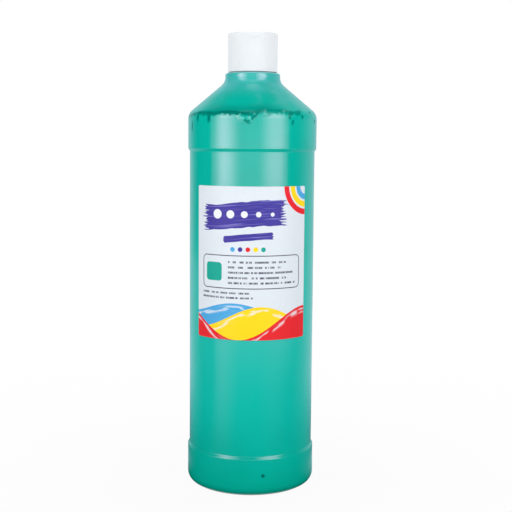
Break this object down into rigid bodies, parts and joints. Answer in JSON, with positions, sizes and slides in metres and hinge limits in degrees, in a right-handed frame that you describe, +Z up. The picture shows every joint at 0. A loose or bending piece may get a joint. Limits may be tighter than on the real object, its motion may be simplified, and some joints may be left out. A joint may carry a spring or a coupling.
{
  "type": "paint bottle",
  "caption": "Round one-litre squeeze bottle of green paint with a stepped label panel, conical shoulder, front label and a white screw cap with a press-open disc.",
  "frame": {"origin": "centre of the base, on the plane that the bottle stands on", "axes": "+Z up along the bottle's axis, -Y out of the front where the label and the spout are, +X to the label's right"},
  "size_m": [0.079, 0.079, 0.2782],
  "materials": {
    "bottle_plastic": "satin natural polyethylene, coloured by the green paint behind it",
    "green_paint": "wet water-based paint",
    "label_stock": "coated label stock with a printed face",
    "gasket_foam": "fine white polyethylene foam",
    "closure_white": "smooth white polypropylene"
  },
  "bodies": {
    "bottle": {"bottle": "bottle_plastic", "paint": "green_paint", "front_label": "label_stock"},
    "gasket": {"neck_gasket": "gasket_foam"},
    "cap": {"cap_shell": "closure_white"},
    "disc": {"press_disc": "closure_white"}
  },
  "joints": [
    {"name": "cap_lift", "type": "slide", "parent": "bottle", "child": "gasket", "axis": [0, 0, 1], "range_m": [0, 0.00635]},
    {"name": "cap_turn", "type": "hinge", "parent": "gasket", "child": "cap", "pos_m": [0, 0, 0.255], "axis": [0, 0, 1], "range_deg": [0, 540]},
    {"name": "disc_tilt", "type": "hinge", "parent": "cap", "child": "disc", "pos_m": [0, 0.003, 0.2753], "axis": [-1, 0, 0], "range_deg": [0, 20]}
  ],
  "couplings": [
    {"joint": "cap_lift", "follows": "cap_turn", "m_per_rad": 0.00067323}
  ]
}
